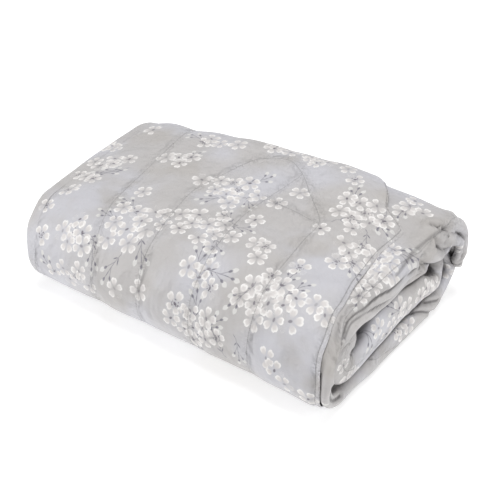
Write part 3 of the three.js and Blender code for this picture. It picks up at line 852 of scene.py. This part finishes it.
# Patches of noise: scale, detail, and the noise from which they show and at which they are full
COOL_PATCHES = (6.0, 2.0, 0.42, 0.6)
WARM_PATCHES = (9.0, 3.0, 0.5, 0.68)
STAMEN_SPECKS = (7.5, 1.0, 0.57, 0.62)
WARM_SHARE = 0.7

# Thread and hem: distances in millimetres from outside to inside a line, noise, and strengths
STITCH_LINE = (1.1, 0.4)
SEAM_LINE = (1.1, 0.3)
SEAM_NEAR = (9.0, 6.0)
SEAM_NOISE = (28.0, 2.0)
SEAM_STRENGTH = (0.35, 1.35)
STITCH_LENGTH = 3.4 * MM
THREAD_STRENGTH = (0.45, 0.85)
# Painted highlight on the hem: width over which it fades in, and its strength
HEM_TURN = 0.8
HEM_HIGHLIGHT = 0.1

# Relief: noise scale and detail, height, and reach from a seam or hem, in millimetres
PUCKERS = {"noise": (95.0, 3.0), "height": 7.0, "least": 0.25, "seam": 9.0, "hem": (16.0, 5.0)}
FINE_CREASES = {"noise": (24.0, 3.0), "height": 8.0, "folds": (7.0, 2.0), "fold_share": 2.0}
WEAVE = {"noise": (900.0, 1.0), "height": 0.06}
SATIN = {"Roughness": 0.52, "Specular IOR Level": 0.35, "Sheen Weight": 0.2, "Sheen Roughness": 0.45}


def set_inputs(surface, values):
    """Gives a material's surface its plain values."""
    for name, value in values.items():
        surface.inputs[name].default_value = value


class Shader:
    """Adds nodes to a material and joins them. Values are numbers or the outputs of other nodes."""

    def __init__(self, tree):
        self.tree = tree

    def node(self, kind, *values, output=0, **settings):
        node = self.tree.nodes.new("ShaderNode" + kind)
        for name, value in settings.items():
            setattr(node, name, value)
        for socket, value in zip(node.inputs, values):
            self.give(socket, value)
        return node.outputs[output]

    def give(self, socket, value):
        if isinstance(value, bpy.types.NodeSocket):
            self.tree.links.new(value, socket)
        elif value is not None:
            socket.default_value = value

    def value(self, name):
        return self.node("Attribute", attribute_name=name, output=2)

    def vector(self, name):
        return self.node("Attribute", attribute_name=name, output=1)

    def parts(self, vector):
        node = self.tree.nodes.new("ShaderNodeSeparateXYZ")
        self.give(node.inputs[0], vector)
        return node.outputs[:]

    def maths(self, operation, *values):
        return self.node("Math", *values, operation=operation)

    def add(self, a, b):
        return self.maths("ADD", a, b)

    def subtract(self, a, b):
        return self.maths("SUBTRACT", a, b)

    def times(self, a, b):
        return self.maths("MULTIPLY", a, b)

    def square(self, a):
        return self.times(a, a)

    def step(self, value, low, high):
        """Eases from 0 to 1 as the value goes from low to high."""
        return self.node("MapRange", value, low, high, 0.0, 1.0, interpolation_type="SMOOTHSTEP")

    def between(self, share, a, b):
        """The value that lies a share of the way from a to b."""
        return self.node("MapRange", share, 0.0, 1.0, a, b)

    def dot(self, vector, other):
        return self.node("VectorMath", vector, other, operation="DOT_PRODUCT", output=1)

    def noise(self, vector, scale, detail):
        return self.node("TexNoise", vector, None, scale, detail)

    def patches(self, vector, scale, detail, low, high):
        return self.step(self.noise(vector, scale, detail), low, high)

    def length(self, a, b):
        return self.maths("SQRT", self.add(self.square(a), self.square(b)))

    def bell(self, a):
        """1 where the value is 0, falling to both sides."""
        return self.maths("EXPONENT", self.times(self.square(a), -1.0))

    def paint(self, share, under, over, strength=None):
        """Lays a share of one colour over another, as strongly as is given."""
        if strength is not None:
            share = self.times(share, strength)
        node = self.tree.nodes.new("ShaderNodeMix")
        node.data_type = "RGBA"
        for number, value in ((0, share), (6, under), (7, over)):
            if isinstance(value, tuple):
                value = (*value, 1.0)
            self.give(node.inputs[number], value)
        return node.outputs[2]


# Blossom, in parts of its radius
PETALS = 5.0
PETAL_LENGTHS = (0.84, 1.04)
PETAL_MIDDLE = 0.62
PETAL_HALF = 0.37  # half of a petal's length
PETAL_WIDTH = {"base": 0.155, "widening": 0.24}
PETAL_EDGE = (1.04, 0.90)  # from outside to inside
NOTCH = {"depth": 0.06, "narrowness": 12.0}
MISSING = (0.12, 0.16)  # share of the petals that are left out
PETAL_COVER = {"out": (0.2, 0.62), "least": 0.25}
PALE_RIM = {"shape": (0.35, 0.86), "out": (0.42, 0.8), "strength": (0.55, 1.0)}
STAMENS = {"seed": (0.80, 0.81), "reach": (0.40, 0.30), "strength": 0.85}
HEART_SHAPE = {"length": 0.75, "width": 1.2, "edge": (0.16, 0.08), "strength": (0.3, 0.9)}
SEED_SPREAD = 37.0
HEART_SPREAD = 7.0


def paint_blossom(shader, name, under):
    """Five notched petals, palest at their tips, round a small dark heart."""
    u, v, seed = shader.parts(shader.vector(name))
    reach = shader.length(u, v)
    turn = shader.times(shader.maths("ARCTAN2", v, u), PETALS / (2 * math.pi))
    petal = shader.maths("ROUND", turn)
    angle = shader.times(shader.subtract(turn, petal), 2 * math.pi / PETALS)
    petal_number = shader.maths("FLOORED_MODULO", shader.add(petal, PETALS), PETALS)
    key = shader.node("CombineXYZ", petal_number, shader.times(seed, SEED_SPREAD), 0.0)
    chance = shader.node("TexWhiteNoise", key, noise_dimensions="2D", output=1)
    length_chance, shown_chance, tone_chance = shader.parts(chance)
    size = shader.between(length_chance, *PETAL_LENGTHS)
    out = shader.maths("DIVIDE", shader.times(reach, shader.maths("COSINE", angle)), size)
    side = shader.maths("DIVIDE", shader.times(reach, shader.maths("SINE", angle)), size)
    notch = shader.times(shader.bell(shader.times(side, NOTCH["narrowness"])), NOTCH["depth"])
    from_middle = shader.subtract(shader.add(out, notch), PETAL_MIDDLE)
    width = shader.add(shader.times(out, PETAL_WIDTH["widening"]), PETAL_WIDTH["base"])
    spread = shader.maths("DIVIDE", side, width)
    shape = shader.length(shader.times(from_middle, 1 / PETAL_HALF), spread)

    is_petal = shader.times(shader.step(shape, *PETAL_EDGE), shader.step(shown_chance, *MISSING))
    from_base = shader.step(out, *PETAL_COVER["out"])
    cover = shader.times(is_petal, shader.between(from_base, PETAL_COVER["least"], 1.0))
    rim = shader.times(shader.step(shape, *PALE_RIM["shape"]), shader.step(out, *PALE_RIM["out"]))
    pale = shader.times(rim, shader.between(tone_chance, *PALE_RIM["strength"]))
    colour = shader.paint(cover, under, shader.paint(pale, PETAL_BASE, PETAL))

    specks = shader.patches(shader.vector(name), *STAMEN_SPECKS)
    specks = shader.times(specks, shader.step(reach, *STAMENS["reach"]))
    specks = shader.times(specks, shader.step(seed, *STAMENS["seed"]))
    colour = shader.paint(specks, colour, HEART, STAMENS["strength"])
    oval = shader.length(shader.times(u, HEART_SHAPE["length"]), shader.times(v, HEART_SHAPE["width"]))
    heart_chance = shader.maths("FRACT", shader.times(seed, HEART_SPREAD))
    strength = shader.between(heart_chance, *HEART_SHAPE["strength"])
    return shader.paint(shader.step(oval, *HEART_SHAPE["edge"]), colour, HEART, strength)


# Sprig, in parts of its half length
STEM = {"start": -0.9, "length": 1.2, "strength": 0.55}
STEM_BEND = 0.22
# Stalks: where each leaves the stem, its direction in degrees, and its length
STALKS = ((-0.45, 26, 0.62), (-0.15, -30, 0.52), (0.1, 4, 0.48))
STALK_STRENGTH = 0.5
LINE_EDGE = (0.0288, 0.0096)  # from outside to inside a stem or stalk
LINE_END = 0.02
BLADE_EDGE = 0.03
SEPAL = {"length": 0.28, "half": 0.08, "behind": 0.168, "strength": 0.75}
BUD_SHAPE = {"length": 0.38, "half": 0.13, "strength": 0.9}
LEAF_STRENGTH = 0.85
# Leaves: where each leaves the stem, its direction in degrees, length and half width
LEAVES = ((-0.7, 38, 0.34, 0.045), (-0.72, -34, 0.40, 0.05), (-0.86, 150, 0.30, 0.035))


def paint_sprig(shader, name, under):
    """A thin stem with narrow dark leaves and pale buds on stalks."""
    u, v, seed = shader.parts(shader.vector(name))
    bend = shader.times(shader.square(u), shader.between(seed, -STEM_BEND, STEM_BEND))
    place = shader.node("CombineXYZ", u, shader.subtract(v, bend), 1.0)

    def along_and_side(start, degrees, x):
        """Place measured along and beside a line from the stem at start, from x on."""
        cosine, sine = math.cos(math.radians(degrees)), math.sin(math.radians(degrees))
        out = shader.dot(place, (cosine, sine, -start * cosine - x))
        return out, shader.maths("ABSOLUTE", shader.dot(place, (-sine, cosine, start * sine)))

    def line(start, degrees, length):
        """Strength of a thin line from the stem."""
        out, side = along_and_side(start, degrees, length / 2)
        ends = shader.step(shader.maths("ABSOLUTE", out), length / 2 + LINE_END, length / 2)
        return shader.times(ends, shader.step(side, *LINE_EDGE))

    def blade(start, degrees, x, length, half):
        """Strength of a pointed oval that begins at x on a line from the stem."""
        out, side = along_and_side(start, degrees, x + length / 2)
        fullness = shader.subtract(1.0, shader.square(shader.times(out, 2 / length)))
        return shader.step(shader.subtract(shader.times(fullness, half), side), 0.0, BLADE_EDGE)

    colour = shader.paint(line(STEM["start"], 0, STEM["length"]), under, LEAF, STEM["strength"])
    for start, degrees, length in STALKS:
        colour = shader.paint(line(start, degrees, length), colour, LEAF, STALK_STRENGTH)
        bud = blade(start, degrees, length, BUD_SHAPE["length"], BUD_SHAPE["half"])
        colour = shader.paint(bud, colour, BUD, BUD_SHAPE["strength"])
        sepal = blade(start, degrees, length - SEPAL["behind"], SEPAL["length"], SEPAL["half"])
        colour = shader.paint(sepal, colour, LEAF, SEPAL["strength"])
    for start, degrees, length, half in LEAVES:
        colour = shader.paint(blade(start, degrees, 0, length, half), colour, LEAF, LEAF_STRENGTH)
    return colour


def cloth_material():
    """Satin-woven cotton: a watercolour ground, the print, the seams, the hem with a painted highlight,
    painted shade in crevices and creases, and fine puckers.
    """
    material = bpy.data.materials.new("quilted_cotton")
    material.use_nodes = True
    shader = Shader(material.node_tree)
    surface = material.node_tree.nodes["Principled BSDF"]
    flat = shader.vector("flat")
    seam = shader.maths("ABSOLUTE", shader.value("seam"))
    seam_reach = shader.value("seam_reach")
    edge = shader.value("edge")

    colour = shader.paint(shader.patches(flat, *COOL_PATCHES), GREIGE, LAVENDER)
    colour = shader.paint(shader.patches(flat, *WARM_PATCHES), colour, TAUPE, WARM_SHARE)
    for slot in reversed(range(SPRIG_SLOTS)):
        colour = paint_sprig(shader, f"sprig_{slot}", colour)
    for slot in reversed(range(BLOSSOM_SLOTS)):
        colour = paint_blossom(shader, f"blossom_{slot}", colour)

    # Painted highlight: the hem band is lightened a little towards the petal colour
    is_hem = shader.step(edge, HEM_STITCH, HEM_STITCH - HEM_TURN)
    colour = shader.paint(is_hem, colour, PETAL, HEM_HIGHLIGHT)
    from_stitch = shader.maths("ABSOLUTE", shader.subtract(edge, HEM_STITCH))
    on_stitch = shader.step(from_stitch, *STITCH_LINE)
    on_seam = shader.times(shader.step(seam, *SEAM_LINE), shader.step(seam_reach, *SEAM_NEAR))
    seam_strength = shader.between(shader.noise(flat, *SEAM_NOISE), *SEAM_STRENGTH)
    on_thread = shader.maths("MAXIMUM", on_stitch, shader.times(on_seam, seam_strength))
    x, along, _ = shader.parts(flat)
    stitch_turn = shader.times(shader.add(x, along), 2 * math.pi / STITCH_LENGTH)
    stitches = shader.between(shader.maths("SINE", stitch_turn), *THREAD_STRENGTH)
    colour = shader.paint(on_thread, colour, THREAD, stitches)

    # Painted shade: the colour darkens towards SHADE where ambient occlusion finds other cloth near
    openness = shader.node(
        "AmbientOcclusion", None, CREVICE_SHADE["reach"], output=1, samples=CREVICE_SHADE["samples"]
    )
    crevice_shade = shader.step(openness, *CREVICE_SHADE["openness"])
    colour = shader.paint(crevice_shade, colour, SHADE, CREVICE_SHADE["shade"])
    # Painted shade at the bottom of each crease
    valley = shader.step(shader.value("valley"), *VALLEY_SHADE["depth"])
    colour = shader.paint(valley, colour, SHADE, VALLEY_SHADE["shade"])
    shader.give(surface.inputs["Base Color"], colour)

    near_seam = shader.bell(shader.times(seam_reach, 1 / PUCKERS["seam"]))
    near_hem = shader.step(edge, *PUCKERS["hem"])
    pucker_share = shader.add(shader.maths("MAXIMUM", near_seam, near_hem), PUCKERS["least"])
    puckers = shader.times(shader.noise(flat, *PUCKERS["noise"]), pucker_share)
    creases = shader.noise(flat, *FINE_CREASES["noise"])
    folds = shader.subtract(shader.noise(flat, *FINE_CREASES["folds"]), 0.5)
    folds = shader.times(shader.maths("ABSOLUTE", folds), FINE_CREASES["fold_share"])
    creases = shader.times(shader.subtract(creases, folds), FINE_CREASES["height"])
    height = shader.add(shader.times(puckers, PUCKERS["height"]), creases)
    weave = shader.times(shader.noise(flat, *WEAVE["noise"]), WEAVE["height"])
    bump = shader.node("Bump", 1.0, MM, None, shader.add(height, weave))
    shader.give(surface.inputs["Normal"], bump)
    set_inputs(surface, SATIN)
    return material


cloth = build_cloth()
cloth.data.materials.append(cloth_material())
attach(cloth, "root")
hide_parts("quilted_bedspread")

# Floor, camera and light
WHITE = (1, 1, 1, 1)
FLOOR = {
    "Base Color": (0.7, 0.7, 0.7, 1), "Roughness": 0.9, "Emission Color": WHITE, "Emission Strength": 0.55,
}
FLOOR_REACH = 30.0
WORLD_STRENGTH = 0.35
PICTURE = 480  # width of the photo in pixels
SENSOR = 36.0  # width of the sensor in millimetres

# Camera of the photo: angles in degrees, and focal length and shift of the picture in pixels
CAMERA = {"azimuth": 35.43, "elevation": 33.47, "focal": 1019.65, "right": -5.57, "up": 8.43}
CAMERA_DISTANCE = 1.68727
AIM = Vector((0, 0, 0.07))
LIGHT_AIM = Vector((0, 0, 0.08))

# Lights: place, size and power
LIGHTS = {
    "top": ((0, 0, 2.8), 1.6, 48),
    "left": ((-1.8, -1.6, 0.7), 1.4, 22),
    "right": ((2.4, 0.2, 1.2), 1.6, 21),
}


def face_away(item, direction):
    """Turns a camera or a light so that its back looks in the direction."""
    item.rotation_euler = direction.to_track_quat("Z", "Y").to_euler()


def add_floor():
    """A lit white table."""
    mesh = bpy.data.meshes.new("floor")
    reach = FLOOR_REACH
    corners = [(-reach, -reach, 0), (reach, -reach, 0), (reach, reach, 0), (-reach, reach, 0)]
    mesh.from_pydata(corners, [], [(0, 1, 2, 3)])
    paint = bpy.data.materials.new("floor")
    paint.use_nodes = True
    set_inputs(paint.node_tree.nodes["Principled BSDF"], FLOOR)
    mesh.materials.append(paint)
    link("floor", mesh)


def add_camera():
    azimuth, elevation = math.radians(CAMERA["azimuth"]), math.radians(CAMERA["elevation"])
    level = math.cos(elevation)
    back = Vector((math.sin(azimuth) * level, -math.cos(azimuth) * level, math.sin(elevation)))
    right = Vector((math.cos(azimuth), math.sin(azimuth), 0))
    shift = back.cross(right) * CAMERA["up"] - right * CAMERA["right"]
    data = bpy.data.cameras.new("camera")
    data.sensor_width = SENSOR
    data.lens = SENSOR * CAMERA["focal"] / PICTURE
    camera = link("camera", data)
    camera.location = AIM + shift * CAMERA_DISTANCE / CAMERA["focal"] + back * CAMERA_DISTANCE
    face_away(camera, back)
    bpy.context.scene.camera = camera


def add_light(name, place, size, power):
    data = bpy.data.lights.new(name, "AREA")
    data.shape = "DISK"
    data.size = size
    data.energy = power
    light = link(name, data)
    light.location = place
    face_away(light, Vector(place) - LIGHT_AIM)


def add_world():
    world = bpy.data.worlds.new("studio")
    world.use_nodes = True
    background = world.node_tree.nodes["Background"]
    background.inputs["Color"].default_value = WHITE
    background.inputs["Strength"].default_value = WORLD_STRENGTH
    bpy.context.scene.world = world
    bpy.context.scene.view_settings.view_transform = "Standard"


add_floor()
add_camera()
add_world()
for light_name, values in LIGHTS.items():
    add_light(light_name, *values)
